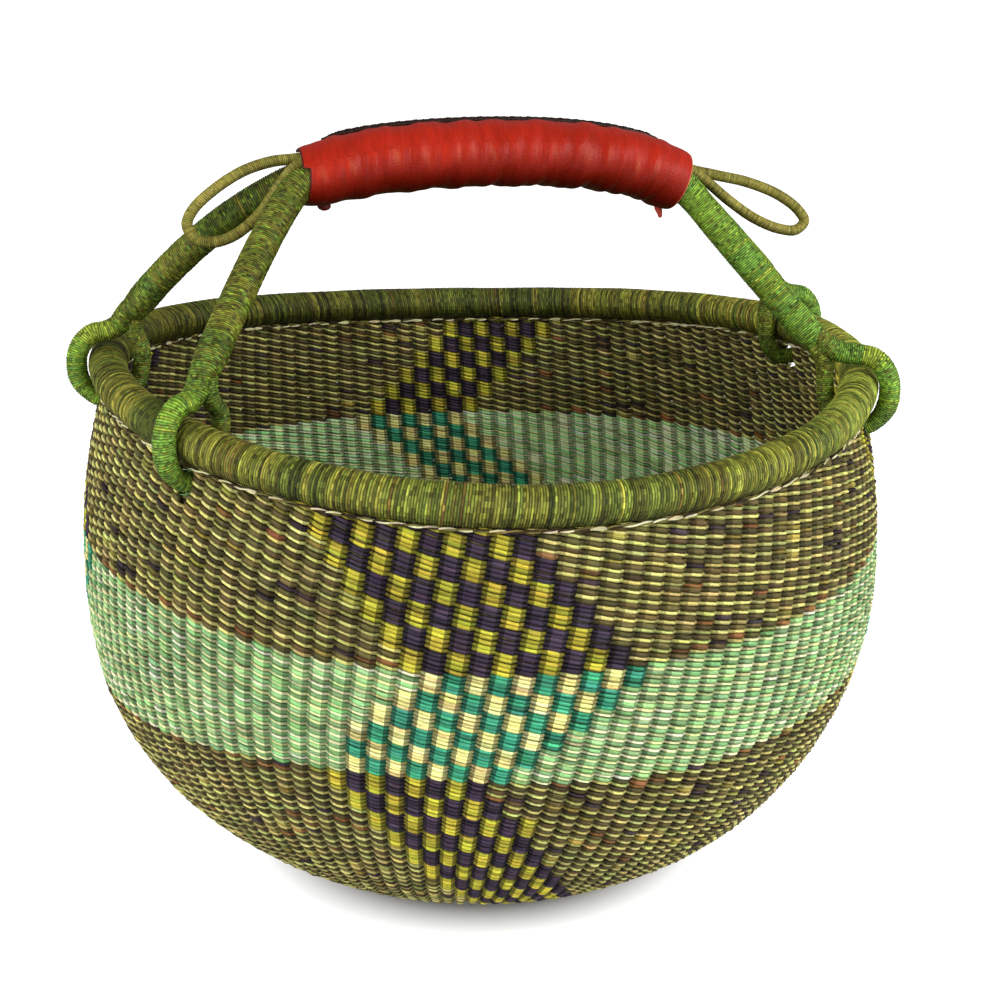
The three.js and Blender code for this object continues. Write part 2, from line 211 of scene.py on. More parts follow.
class Skin:
    """Gathers tubes into one mesh, each a grid of points with a colour for every stretch."""

    def __init__(self):
        self.points = []
        self.quads = []
        self.caps = []
        self.tints = []
        self.cap_tints = []
        self.fibres = []
        self.strips = []
        self.count = 0

    def tube(self, grid, tints, closed=False, fibre_along=True):
        """grid is rings x sides x 3. tints has a colour for each stretch between two rings, or for
        each side of each stretch."""
        rings, sides, _ = grid.shape
        stretches = rings if closed else rings - 1
        numbers = self.count + arange(rings * sides).reshape(rings, sides)
        here = numbers[:stretches]
        ahead = np.roll(numbers, -1, axis=0)[:stretches]
        quads = stack([here, np.roll(here, -1, axis=1), np.roll(ahead, -1, axis=1), ahead], axis=2)
        self.points.append(grid.reshape(-1, 3))
        self.quads.append(quads.reshape(-1, 4))
        tints = np.asarray(tints, float)
        tints = tints[:, None] if tints.ndim == 2 else tints
        tints = np.broadcast_to(tints, (stretches, sides, 3))
        self.tints.append(tints.reshape(-1, 3))
        looped = vstack([grid, grid[:1]]) if closed else grid
        reach = reaches(looped.mean(axis=1))
        across = np.linalg.norm(np.roll(grid, -1, axis=1) - grid, axis=2).sum(axis=1).mean()
        around = linspace(0, across, sides + 1)
        fibre = face_corners(reach, around)[:, ::1 if fibre_along else -1]
        self.fibres.append(fibre + np.multiply(FIBRE_APART, len(self.strips)))
        self.strips.append((reach, around))
        if not closed:
            self.caps.append(numbers[0][::-1])
            self.caps.append(numbers[-1])
            self.cap_tints.extend([tints[0, 0], tints[-1, 0]])
        self.count += rings * sides

    def laid_out(self):
        """Every stretch's place on a unit square, in shelves with a little room between them."""
        cap_side = max(around[-1] for _, around in self.strips) / 4 if self.caps else 0
        area = sum(reach[-1] * around[-1] for reach, around in self.strips) * SHELF_ROOM
        area += len(self.caps) * (cap_side * SHELF_ROOM) ** 2
        width = (area * 1.12) ** 0.5
        blocks = []
        for reach, around in self.strips:
            parts = int(np.ceil(reach[-1] / width))
            cuts = linspace(0, len(reach) - 1, parts + 1).round().astype(int)
            for first, last in zip(cuts, cuts[1:]):
                run = reach[first:last + 1] - reach[first]
                blocks.append((face_corners(run, around), run[-1], around[-1]))
        for cap in self.caps:
            turn = turns(len(cap))
            circle = stack([cos(turn), sin(turn)], axis=1)
            blocks.append(((circle + 1) * cap_side / 2, cap_side, cap_side))
        corners = []
        x, y, shelf = 0.0, 0.0, 0.0
        for block, wide, high in blocks:
            if x + wide > width * 1.001:
                x, y, shelf = 0.0, y + shelf, 0.0
            corners.append(block + (x, y))
            x += wide + width * 0.004
            shelf = max(shelf, high * SHELF_ROOM)
        return vstack(corners) / max(width * 1.02, y + shelf)

    def piece(self, name, material, body, slot, *nodes):
        """Makes the mesh, rides it on its body and lets it stand for CAD nodes."""
        quads = vstack(self.quads)
        loops = [quads.ravel(), *self.caps]
        totals = concatenate([np.full(len(quads), 4), [len(cap) for cap in self.caps]]).astype(int)
        vertex_of = concatenate(loops).astype(np.int32)
        mesh = bpy.data.meshes.new(name)
        mesh.vertices.add(self.count)
        fill(mesh.vertices, "co", vstack(self.points) * MM)
        mesh.loops.add(len(vertex_of))
        mesh.loops.foreach_set("vertex_index", vertex_of)
        mesh.polygons.add(len(totals))
        starts = concatenate([[0], np.cumsum(totals)[:-1]]).astype(np.int32)
        mesh.polygons.foreach_set("loop_start", starts)
        mesh.polygons.foreach_set("use_smooth", np.ones(len(totals), bool))
        mesh.update(calc_edges=True)
        tints = np.repeat(vstack([*self.tints, *self.cap_tints]), totals, axis=0)
        rgba = np.hstack([tints, np.ones((len(tints), 1))])
        fill(mesh.color_attributes.new("tint", "FLOAT_COLOR", "CORNER").data, "color", rgba)
        cap_fibres = np.zeros((len(vertex_of) - quads.size, 2))
        fibres = vstack([*self.fibres, cap_fibres])
        for label, places in (("OFBake", self.laid_out()), ("Fibre", fibres)):
            fill(mesh.uv_layers.new(name=label).uv, "vector", places)
        mesh.validate()
        mesh.materials.append(material)
        made = linked(name, mesh)
        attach(made, body)
        if nodes:
            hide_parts(*nodes)
        return made


# Materials

class Tree:
    """The node tree of a material or of the world."""

    def __init__(self, owner):
        owner.use_nodes = True
        self.tree = owner.node_tree

    def node(self, kind, **settings):
        """Adds a node. A setting whose name is an input's is linked or given to that input."""
        made = self.tree.nodes.new("ShaderNode" + kind)
        for key, value in settings.items():
            if key in made.inputs:
                self.give(made.inputs[key], value)
            else:
                setattr(made, key, value)
        return made

    def give(self, socket, value):
        if isinstance(value, bpy.types.NodeSocket):
            self.tree.links.new(value, socket)
        else:
            socket.default_value = value

    def stretched(self, along, across):
        """Fibre coordinates with so many repeats to the millimetre along and across the fibre."""
        fibre = self.node("UVMap", uv_map="Fibre")
        scaled = self.node("VectorMath", operation="MULTIPLY")
        self.give(scaled.inputs[0], fibre.outputs["UV"])
        self.give(scaled.inputs[1], (along, across, 1))
        return scaled.outputs["Vector"]

    def mapped(self, value, low, high, low_to, high_to):
        node = self.node("MapRange")
        for socket, number in zip(node.inputs, (value, low, high, low_to, high_to)):
            self.give(socket, number)
        return node.outputs["Result"]

    def noise(self, vector, scale, detail, roughness=0.5):
        node = self.node("TexNoise", Vector=vector, Scale=scale, Detail=detail, Roughness=roughness)
        return node.outputs["Fac"]

    def math(self, operation, first, second):
        node = self.node("Math", operation=operation)
        self.give(node.inputs[0], first)
        self.give(node.inputs[1], second)
        return node.outputs["Value"]

    def place(self):
        """The object's own coordinates, in metres."""
        return self.node("TexCoord").outputs["Object"]

    def seen(self):
        """1 for what the camera sees directly, otherwise 0."""
        return self.node("LightPath").outputs["Is Camera Ray"]


class Shader(Tree):
    """A node material that is built from its Principled BSDF backwards."""

    def __init__(self, name, roughness, specular):
        self.material = bpy.data.materials.new(name)
        super().__init__(self.material)
        self.inputs = self.tree.nodes["Principled BSDF"].inputs
        self.give(self.inputs["Roughness"], roughness)
        self.give(self.inputs["Specular IOR Level"], specular)

    def finish(self, factors, dull, height, bump):
        """The mesh's own colour times some factors, with a roughness and a bump in millimetres."""
        factor = factors[0]
        for other in factors[1:]:
            factor = self.math("MULTIPLY", factor, other)
        scaled = self.node("VectorMath", operation="SCALE", Scale=factor)
        self.give(scaled.inputs[0], self.node("Attribute", attribute_name="tint").outputs["Color"])
        self.give(self.inputs["Base Color"], scaled.outputs["Vector"])
        self.give(self.inputs["Roughness"], dull)
        raised = self.node("Bump", Height=height, Distance=bump * MM, Strength=1.0)
        self.give(self.inputs["Normal"], raised.outputs["Normal"])
        return self.material


NOISE = (0.3, 0.7)        # between these lie most values of a noise


def grass(name, streaks, bump, roughness):
    """Dyed grass: fine lengthwise streaks, and flecks where the dye took less."""
    shader = Shader(name, roughness, 0.22)
    streak = shader.noise(shader.stretched(0.16, 2.4), 1.0, 3.0)
    fleck = shader.noise(shader.stretched(0.45, 1.7), 1.0, 2.0)
    patch = shader.noise(shader.place(), 55.0, 2.0)
    factors = [
        shader.mapped(streak, *NOISE, 1 - streaks, 1 + streaks),
        shader.mapped(fleck, *NOISE, 0.8, 1.25),
        shader.mapped(patch, *NOISE, 0.88, 1.12),
    ]
    dull = shader.mapped(streak, 0.25, 0.75, roughness + 0.1, roughness - 0.12)
    return shader.finish(factors, dull, streak, bump)


def leather():
    """Soft red goatskin: fine grain, creases across the grip, and painted shade that darkens the low
    parts of the creases.
    """
    shader = Shader("red_leather", 0.42, 0.22)
    place = shader.place()
    grain = shader.node("TexVoronoi", Vector=place, Scale=900.0).outputs["Distance"]
    crease = shader.noise(shader.stretched(0.5, 0.07), 1.0, 4.0, 0.6)
    patch = shader.noise(place, 38.0, 3.0)
    factors = [shader.mapped(crease, *NOISE, 0.8, 1.12), shader.mapped(patch, *NOISE, 0.85, 1.12)]
    height = shader.math("ADD", crease, shader.math("MULTIPLY", grain, 0.25))
    return shader.finish(factors, shader.mapped(patch, *NOISE, 0.36, 0.52), height, 0.5)


WEAVE = grass("twined_grass", 0.28, 0.14, 0.6)
WRAPPED = grass("wrapped_grass", 0.3, 0.16, 0.55)
STRAW = grass("plain_straw", 0.22, 0.1, 0.6)
CORD = grass("cord_grass", 0.3, 0.1, 0.6)
RED = leather()


# Cross wraps of grass, as on the rim, the handle and the hanging loops

WRAP_STEPS = 4
WRAP_TILT = 0.12
# Painted shade where two wraps meet, and a little painted light on their crowns
GROOVE_PAINTED_SHADES = [0.45, 1.08, 1.08, 0.55]
SPECKLE = 0.3
UNDERSIDE_PAINTED_SHADE = 0.75         # painted shade: how much darker a tube is underneath
# Colours of painted light, mixed into the wraps where a tube is lit
PAINTED_LIGHT_TINTS = colour((140, 182, 58), (162, 186, 60), (124, 172, 64))
PATCH = 24                # wraps in the longest patch of alike ones
STRAY_WRAPS = 0.35        # share of the wraps that differ from their patch
WRAP_JITTER = (0.12, 0.03)
LIT_SPREAD = 0.3


def jittered(rng, base, count, light=0.12, hue=0.05):
    """So many colours near a base: lighter and darker, a little redder or greener."""
    base = np.broadcast_to(base, (count, 3))
    value = 1 + light * rng.standard_normal((count, 1))
    shift = 1 + hue * rng.standard_normal((count, 3))
    return clip(base * value * shift, 0.004, 0.95)


def wrap_relief(places, heights, relief):
    """A round ridge for each wrap. places counts wraps, with a fraction within each."""
    return relief * np.abs(sin(pi * places)) ** 0.7 * heights[places.astype(int) % len(heights)]


def patchy(rng, count, tints, length):
    """One colour for each wrap, from patches of alike wraps with some strays among them."""
    chosen = np.empty(count, int)
    at = 0
    while at < count:
        run = int(rng.integers(length // 3, length))
        chosen[at:at + run] = rng.integers(len(tints))
        at += run
    stray = rng.random(count) < STRAY_WRAPS
    chosen[stray] = rng.integers(len(tints), size=stray.sum())
    return tints[chosen]


def wrap_shades(rng, tints, speckle=SPECKLE):
    """Colours of the stretches of each wrap: painted shade where two wraps meet, and speckled along
    them.
    """
    spots = 1 + speckle * clip(rng.standard_normal((*tints.shape[:2], 1)), -2, 2)
    shades = (tints * spots)[:, None] * array(GROOVE_PAINTED_SHADES)[None, :, None, None]
    return clip(shades.reshape(-1, *tints.shape[1:]), 0.003, 0.95)


def wrapped_tube(skin, rng, path, radii, tints, wrap, relief, sides=24, lit=None, speckle=SPECKLE):
    """A tube of cross wraps. radii is a table of shares along it and radii there."""
    wraps = int(length_of(path) / wrap)
    count = wraps * WRAP_STEPS
    line = even(path, count)
    tangent, first, second = carried_frames(line)
    places = arange(count + 1) / WRAP_STEPS
    heights = rng.uniform(0.6, 1.15, wraps + 1)
    share = linspace(0, 1, count + 1)
    body = interp(share, *radii)
    r = body - relief + wrap_relief(places, heights, relief)
    around = turns(sides)
    ring = first[:, None] * cos(around)[:, None] + second[:, None] * sin(around)[:, None]
    tilt = WRAP_TILT * body[:, None, None] * sin(around + 0.5)[:, None]
    grid = line[:, None] + r[:, None, None] * ring + tangent[:, None] * tilt
    colours = jittered(rng, patchy(rng, wraps, tints, PATCH), wraps, *WRAP_JITTER)[:, None]
    # Painted light: brighter colours mixed in along the tube as the lit table gives
    if lit is not None:
        middle = (arange(wraps) + 0.5) / wraps
        bright = patchy(rng, wraps, PAINTED_LIGHT_TINTS, PATCH)
        bright = jittered(rng, bright, wraps, *WRAP_JITTER)[:, None]
        share = interp(middle, *lit)[:, None] + LIT_SPREAD * rng.standard_normal((wraps, sides))
        share = clip(share, 0, 1)[..., None]
        colours = colours * (1 - share) + bright * share
    # Painted shade on the wraps that face down
    under = clip(-ring[WRAP_STEPS // 2:count:WRAP_STEPS, :, 2:], 0, 1)
    colours = np.broadcast_to(colours, (wraps, sides, 3)) * (1 - UNDERSIDE_PAINTED_SHADE * under)
    skin.tube(grid, wrap_shades(rng, colours, speckle), fibre_along=False)


# The hanging loops, finely wrapped cord on the route that the CAD gives them

LEFT_ROUTE = [
    (-88, 0.1), (-95, -0.5), (-104, -1.1), (-117, -4.7), (-130.5, -12.4), (-140.3, -20.9),
    (-143.2, -27.3), (-139.8, -33.5), (-132.6, -35.4), (-122.8, -32.7), (-111.4, -23.9),
    (-102.4, -12.3), (-95, -3.5), (-88, 0.1),
]
RIGHT_ROUTE = [
    (90.4, -8.1), (98, -11.9), (113, -15.7), (128.6, -19.5), (144.8, -26.1), (155.6, -33.9),
    (159, -39.5), (154.8, -43.4), (145.6, -42.4), (132.4, -36.8), (118.8, -27.7), (106, -17.5),
    (98, -12.3), (90.4, -8.1),
]
CORD_WRAP = 0.85
CORD_RELIEF = 0.14
CORD_SPECKLE = 0.12
CORD_SIDES = 14
CORD_TINTS = colour((160, 152, 66), (144, 136, 58), (172, 162, 76))


def hang_loop(name, node, route, inwards, seed):
    rng = default_rng(seed)
    last = len(route) - 1
    points = []
    for i, (x, up) in enumerate(route):
        across = HANG_SPACING * (0.5 - i / last)
        points.append((HANDLE_X + x + inwards, HANDLE_Y + across, GRIP_Z + up))
    path = smooth(points, 240)
    radii = ([0, 1], [HANG_CORD_R, HANG_CORD_R])
    skin = Skin()
    wraps = (CORD_TINTS, CORD_WRAP, CORD_RELIEF, CORD_SIDES)
    wrapped_tube(skin, rng, path, radii, *wraps, speckle=CORD_SPECKLE)
    made = skin.piece(name, CORD, "handle", "twisted_grass", node)
    metres = path * MM
    length_of(metres)


hang_loop("hang_cord_left", "hang_loop_left", LEFT_ROUTE, 2.8, 11)
hang_loop("hang_cord_right", "hang_loop_right", RIGHT_ROUTE, -2, 12)


# Shape of the wall and the rim

def rim_lift(angle):
    """How far the rim is held up at an angle about Z."""
    return SADDLE * cos(2 * (angle - SADDLE_TURN)) - LEFT_RISE * cos(angle)


def rim_pull(angle):
    """How much nearer the middle the rim lies at an angle about Z."""
    return (PULL_IN + LEFT_PULL * (1 - cos(angle)) / 2) * cos(angle) ** 2


LIFT_HEIGHTS = [20, TEAL_BOTTOM_Z, TEAL_TOP_Z, 236]
LIFT_SHARES = [0, -0.3, 0.6, 1.0]
WANDER = 3.5              # the rows under the teal band rise and fall so far, four times round
WANDER_HEIGHTS = [30, TEAL_BOTTOM_Z, TEAL_TOP_Z]
WANDER_TURN = radians(238)


def row_lift(angle, z):
    """How far the rows of the weave are held up or sag, at an angle and an even height."""
    wander = WANDER * cos(4 * (angle - WANDER_TURN)) * interp(z, WANDER_HEIGHTS, [0, 1, 0])
    return interp(z, LIFT_HEIGHTS, LIFT_SHARES) * rim_lift(angle) + wander


def wall_pull(angle, z):
    """How much nearer the middle the wall lies at an even height."""
    full = RIM_Z - RIM_TUBE_R - 2 * EDGE_CORD_R
    return clip((z - BELLY_Z) / (full - BELLY_Z), 0, 1) ** 2 * rim_pull(angle)


def rim_point(angle, out, up):
    r = RIM_R + np.asarray(out, float) - rim_pull(angle)
    z = RIM_Z + rim_lift(angle) + up + 0 * r
    return stack([r * cos(angle), r * sin(angle), z], axis=-1)


def wall_section(z):
    """The wall's outer radius and outward direction in the (r, z) plane at a height."""
    z = np.asarray(z, float)
    turn = np.arccos(clip(1 - z / BELLY_Z, -1, 1))
    low_r = FOOT_R + (BELLY_R - FOOT_R) * sin(turn)
    low_out = stack([BELLY_Z * sin(turn), -(BELLY_R - FOOT_R) * cos(turn)], axis=-1)
    share = (z - BELLY_Z) / (RIM_Z - BELLY_Z)
    high_r = BELLY_R - LEAN_IN * share ** 2
    high_out = stack([np.ones_like(z), 2 * LEAN_IN * share / (RIM_Z - BELLY_Z)], axis=-1)
    below = z < BELLY_Z
    return where(below, low_r, high_r), unit(where(below[..., None], low_out, high_out))


wall_top_z = RIM_Z - RIM_TUBE_R + RIM_WRAP - GAP
under_rim_r, _ = wall_section(RIM_Z - RIM_TUBE_R - 2 * EDGE_CORD_R)
top_r, top_out = wall_section(wall_top_z)
edge_out = under_rim_r - RIM_R + GAP
edge_in = RIM_R - (top_r - top_out[0] * WALL) + GAP


def edge_cord_place(side):
    """Out from the rim's middle line and down from it, for the cord outside (1) or inside (-1)."""
    out = side * ((edge_out if side > 0 else edge_in) + EDGE_CORD_R)
    reach = RIM_TUBE_R + EDGE_CORD_R + GAP
    return out, (reach ** 2 - out ** 2) ** 0.5


edge_low = max(edge_cord_place(1)[1], edge_cord_place(-1)[1]) + EDGE_CORD_R


def travel(angle):
    """How far a loop rises or sinks as the handle rocks."""
    return abs(RIM_R * sin(angle) - HANDLE_Y) * np.tan(ROCK) + PLAY


def under_rim(angle):
    return edge_low + travel(angle) + LOOP_UNDER_R


def hole_bottom(angle):
    """Height of the lowest place that the hole for a loop reaches."""
    down = under_rim(angle) + LOOP_UNDER_R + travel(angle) - PLAY - WEAVE_GIVES
    return RIM_Z + rim_lift(angle) - down


def hole_reach(row, angle):
    """How far a row lies over or under the heights that a loop's middle line passes in its hole."""
    lowest = hole_bottom(angle) + LOOP_UNDER_R
    highest = RIM_Z + rim_lift(angle) - (edge_low + LOOP_UNDER_R)
    here = row.z + row_lift(angle, row.z)
    return max(here - row.pitch / 2 - highest, lowest - here - row.pitch / 2, 0)


# The wall's middle surface as a line from the rim down to the middle of the base, by its length

def middle_line():
    turn = linspace(np.arccos(1 - 0.999999), 0, 400)
    high = linspace(wall_top_z, BELLY_Z, 200, endpoint=False)
    z = concatenate([high, BELLY_Z * (1 - cos(turn))])
    r, out = wall_section(z)
    flat = linspace(FOOT_R, 0.5, 60)[1:]
    r = concatenate([r, flat])
    z = concatenate([z, np.zeros(len(flat))])
    out = vstack([out, np.tile([0.0, -1.0], (len(flat), 1))])
    middle = stack([r, z], axis=1) - out * WALL / 2
    return reaches(middle), middle, out, z


LINE_REACH, LINE_MIDDLE, LINE_OUT, LINE_Z = middle_line()


def on_line(reach, values):
    if values.ndim == 1:
        return interp(reach, LINE_REACH, values)
    return rows_at(reach, LINE_REACH, values)


def reach_of(z):
    return float(interp(-z, -LINE_Z[:600], LINE_REACH[:600]))


# The rows of weft, from the rim down. A cell of the pattern is five rows high.

STAKES = 128
CELL_ROWS = 5
HIDDEN_ROWS = 2           # right under the rim, and not counted
UPPER_ROWS = 30
TEAL_ROWS = 30
FIRST_ROW_Z = 233.6
LOWER_PITCH = 1.95
LOWER_PITCH_GAIN = 0.02
LOWER_PITCH_MOST = 2.7
LAST_ROW_R = 5
STAKE_STEP_AT = [(95, 1), (48, 2), (24, 4), (0, 8)]

Row = namedtuple("Row", "zone step number reach pitch r z")


def make_rows():
    rows = []

    def add(zone, reach, pitch):
        r = float(on_line(reach, LINE_MIDDLE)[0])
        z = float(on_line(reach, LINE_Z))
        step = next(step for least, step in STAKE_STEP_AT if r >= least)
        rows.append(Row(zone, step, len(rows) - HIDDEN_ROWS, reach, pitch, r, z))

    start = reach_of(FIRST_ROW_Z)
    change = reach_of(TEAL_TOP_Z)
    pitch = (change - start) / (UPPER_ROWS - 1)
    for number in range(-HIDDEN_ROWS, UPPER_ROWS):
        add("upper", start + (number - 0.5) * pitch, pitch)
    reach = reach_of(TEAL_BOTTOM_Z)
    pitch = (reach - change) / TEAL_ROWS
    for number in range(TEAL_ROWS):
        add("teal", change + (number + 0.5) * pitch, pitch)
    down = 0
    while reach < reach_of(0) + FOOT_R - LAST_ROW_R:
        pitch = min(LOWER_PITCH + LOWER_PITCH_GAIN * down, LOWER_PITCH_MOST)
        add("lower" if on_line(reach, LINE_Z) > BASE_TOP_Z else "base", reach + pitch / 2, pitch)
        reach += pitch
        down += 1
    return rows


ROWS = make_rows()


# Where the stakes stand. They lean a little, and crowd towards the sides near the foot.

LEAN = -0.116
LEAN_SWAY = -0.061
FACE_TURN = radians(255)
CROWD_HEIGHTS = [56, 200]
CROWD_SHARES = [0.149, -0.012]
STAKE_SHIFT = 0.70


def stake_angle(stake, cell, z):
    pitch = 2 * pi / STAKES
    plain = pitch * (stake + STAKE_SHIFT)
    leaning = plain + pitch * cell * (LEAN + LEAN_SWAY * cos(plain - FACE_TURN))
    turn = leaning - FACE_TURN
    crowd = interp(z, CROWD_HEIGHTS, CROWD_SHARES)
    return leaning - crowd / 2 * (sin(turn) + sin(2 * turn) / 2)


def cell_of(number):
    return (number + 0.5) / CELL_ROWS + 0.5


# The pattern: plain dark and light stitches by turns, and stepped bands of cells in two colours

FRONT_CELLS = 9
QUARTER = STAKES // 4
LAST_CELL_ROW = 23

DARK = colour(84, 74, 42)
LIGHT = colour(196, 190, 112)
MID_GREEN = colour(128, 170, 112)
PALE_GREEN = colour(228, 234, 170)
OLIVE = colour(186, 176, 58)
PURPLE = colour(62, 50, 66)
CREAM = colour(244, 230, 150)
TEAL = colour(66, 158, 122)
RUST = colour(140, 96, 56)
VALUE_SPREAD = 0.24
HUE_SPREAD = 0.06
TALL_SPREAD = 0.12
STRAYS = [(colour(64, 52, 58), 0.02), (colour(156, 142, 66), 0.03)]
RUSTY = 0.01
RUSTY_AT_TEAL = 0.2
EDGE_ROWS = (28, 29, 60, 61)
THICK = 1.26              # dark stitches of the plain zones, as a share of the row's pitch
THIN = 0.74
# Levels of the dark and the light plain stitches, inside and outside; where these differ for one
# zone, that is painted light and shade on the same strands
PLAIN_LEVELS = {
    "upper": [(1.0, 1.0), (1.35, 1.2)],
    "teal": [(2.4, 1.25), (1.3, 1.1)],
    "lower": [(1.0, 1.0), (1.0, 0.95)],
    "base": [(1.0, 1.0), (0.9, 0.9)],
}


def front_band(cell_row):
    """First and last stake of the front pattern in a row of cells, and where its colours start."""
    if cell_row <= 7:
        first = 82 + cell_row
        return first, first + FRONT_CELLS, first
    if cell_row <= 13:
        start = 96 - cell_row
        least = 86 if cell_row < 13 else 85
        first = max(start, least) if cell_row >= 10 else start
        return first, 105 - cell_row, start
    first = 72 + cell_row
    return first, first + (8 if cell_row == 15 else 7), first


def back_band(cell_row):
    step = cell_row if cell_row <= 7 else 14 - cell_row
    return 21 + step, 27 + step


def pattern_cell(stake, cell_row):
    """Outside a pattern -1, otherwise 0 for a light cell and 1 for a dark one, as seen outside."""
    found = np.full(stake.shape, -1)
    if cell_row > LAST_CELL_ROW:
        return found
    first, last, start = front_band(cell_row)
    for turn in (-QUARTER, 0, QUARTER):
        place = (stake - first - turn) % STAKES
        found = where(place <= last - first, (place + first - start) % 2, found)
    first, last = back_band(cell_row)
    place = (stake - first) % STAKES
    return where(place <= last - first, (place + 1) % 2, found)


def stitch_looks(rng, row, stake, outside):
    """The colours of a row's stitches, which are in a pattern, and how tall each is, in pitches."""
    count = len(stake)
    cell_row = int(row.number // CELL_ROWS) + 1
    teal = row.zone == "teal"
    cell = pattern_cell(stake, cell_row)
    turned = (stake // row.step + row.number + ~outside) % 2
    dark, light = (MID_GREEN, PALE_GREEN) if teal else (DARK, LIGHT)
    levels = array(PLAIN_LEVELS[row.zone])
    level = levels[outside.astype(int), 1 - turned][:, None]
    tint = where(turned[:, None] == 1, dark, light) * level
    tall = where(turned == 1, THICK, THIN)
    stray = rng.random(count)
    if not teal:
        least = 0.0
        rusty = RUSTY_AT_TEAL if row.number in EDGE_ROWS else RUSTY
        for stray_tint, chance in [*STRAYS, (RUST, rusty)]:
            chosen = (stray >= least) & (stray < least + chance)
            tint = where(chosen[:, None], stray_tint, tint)
            least += chance
    shown = (cell + ~outside) % 2
    dark, light = (TEAL, CREAM) if teal else (PURPLE, OLIVE)
    cells = where(shown[:, None] == 1, dark, light)
    tint = where((cell >= 0)[:, None], cells, tint)
    tall = where(cell >= 0, 1.0, tall)
    value = 1 + VALUE_SPREAD * clip(rng.standard_normal((count, 1)), -2, 2.5)
    shift = 1 + HUE_SPREAD * rng.standard_normal((count, 3))
    tall = tall * clip(rng.normal(1, TALL_SPREAD, count), 0.7, 1.3)
    return clip(tint * value * shift, 0.004, 0.9), cell >= 0, tall


# The twining: two strands to a row, which change sides between the stakes

STITCH_STEPS = 4
STITCH_SIDES = 6
STRAND_OUT = 1.7          # from the wall's middle surface to the strand's middle, over a stake
STRAND_HALF = 1.15
BULGE = 0.45              # how soon a strand comes out from under its neighbour
STRAND_SWING = 0.43       # shares of the row's pitch
CROSSING_HALF = 0.42
STITCH_OFFSET = 0.08
STITCH_DEPTH = 0.18
PAINTED_SHADES_OUTSIDE = [0.82, 0.45, 0.6, 0.6, 0.7, 1.12]    # painted light and shade on a stitch's sides, from its outer lower one
PAINTED_SHADES_INSIDE = [0.6, 0.45, 0.82, 1.12, 0.7, 0.6]
# Painted shade on plain and patterned stitches at their crossings, and painted highlight in their
# middle
LENGTHWISE_PAINTED_SHADES = array([(0.6, 1.12), (0.42, 1.22)])


def open_spans(row):
    """Stretches of stakes between the holes for the loops, and whether they make a whole ring."""
    stake = linspace(0, STAKES, 4 * STAKES + 1)
    angle = stake_angle(stake, cell_of(row.number), row.z)
    cuts = []
    for loop, _, _ in LOOPS.values():
        past = hole_reach(row, loop)
        if past > HOLE_R or row.zone != "upper":
            continue
        half = (HOLE_R ** 2 - past ** 2) ** 0.5 / (TOP_R - rim_pull(loop))
        loop = angle[0] + (loop - angle[0]) % (2 * pi)
        cuts.append([float(interp(loop + side * half, angle, stake)) for side in (-1, 1)])
    if not cuts:
        return [(0, STAKES, True)]
    cuts.sort()
    starts = [cut[1] for cut in cuts]
    stops = [cut[0] for cut in cuts[1:]] + [cuts[0][0] + STAKES]
    return [(start, stop, False) for start, stop in zip(starts, stops)]


def strand_places(start, stop, step, whole):
    grid = step / STITCH_STEPS
    if whole:
        return arange(start, stop, grid)
    inner = arange(np.ceil(start / grid + 0.3), np.floor(stop / grid - 0.3) + 1) * grid
    return concatenate([[start], inner, [stop]])


def weft_strand(skin, rng, row, turn, start, stop, whole):
    step = row.step
    stake = strand_places(start, stop, step, whole)
    ahead = np.append(stake[1:], STAKES) if whole else stake[1:]
    halfway = (stake[:len(ahead)] + ahead) / 2
    stitch = np.round(halfway / step).astype(int)
    owners = arange(stitch.min(), stitch.max() + 1)
    seen = (owners + turn) % 2 == 0
    tints, patterned, tall = stitch_looks(rng, row, owners * step % STAKES, seen)
    offset = STITCH_OFFSET * rng.standard_normal(len(owners))
    depth = STITCH_DEPTH * rng.standard_normal(len(owners))
    for looks in (tints, patterned, tall, offset, depth):
        looks[-1] = looks[0] if whole else looks[-1]

    nearest = clip(np.round(stake / step).astype(int) - owners[0], 0, len(owners) - 1)
    phase = pi * (stake / step + turn)
    swing, side = cos(phase), sin(phase)
    near = np.abs(swing)
    cell = cell_of(row.number)
    angle = stake_angle(stake, cell, row.z)
    slack = 0.06 * sin(angle * 17 + row.number) + 0.05 * sin(angle * 41 + 2.1 * row.number)
    out = STRAND_OUT * np.sign(swing) * near ** BULGE + depth[nearest] * near
    up = (slack - STRAND_SWING * side + offset[nearest] * near) * row.pitch
    full = CROSSING_HALF + (0.5 * tall[nearest] - CROSSING_HALF) * near ** 0.8
    around = -turns(STITCH_SIDES)
    deep = out[:, None] + STRAND_HALF * cos(around)
    high = up[:, None] + (row.pitch * full)[:, None] * sin(around)
    normal = on_line(row.reach, LINE_OUT)
    middle = on_line(row.reach, LINE_MIDDLE)
    r = middle[0] + normal[0] * deep - normal[1] * high - wall_pull(angle, row.z)[:, None]
    z = middle[1] + normal[1] * deep + normal[0] * high + row_lift(angle, row.z)[:, None]
    grid = stack([r * cos(angle)[:, None], r * sin(angle)[:, None], z], axis=2)

    number = stitch - owners[0]
    # Painted light and shade: by the side of the strand, darker at the crossings, brighter in a
    # stitch's middle
    facets = where(seen[number][:, None], PAINTED_SHADES_OUTSIDE, PAINTED_SHADES_INSIDE)
    apart = np.abs(halfway / step - stitch)
    lengthwise = LENGTHWISE_PAINTED_SHADES[patterned[number].astype(int), (apart <= 0.25).astype(int)]
    shades = (facets * lengthwise[:, None])[..., None]
    skin.tube(grid, tints[number][:, None] * shades, closed=whole)


ROWS_PER_PIECE = 15
ZONE_NODES = {
    "upper": ("upper_band", "dark_grass"),
    "teal": ("teal_band", "teal_grass"),
    "lower": ("lower_band", "dark_grass"),
    "base": ("base_weave", "dark_grass"),
}


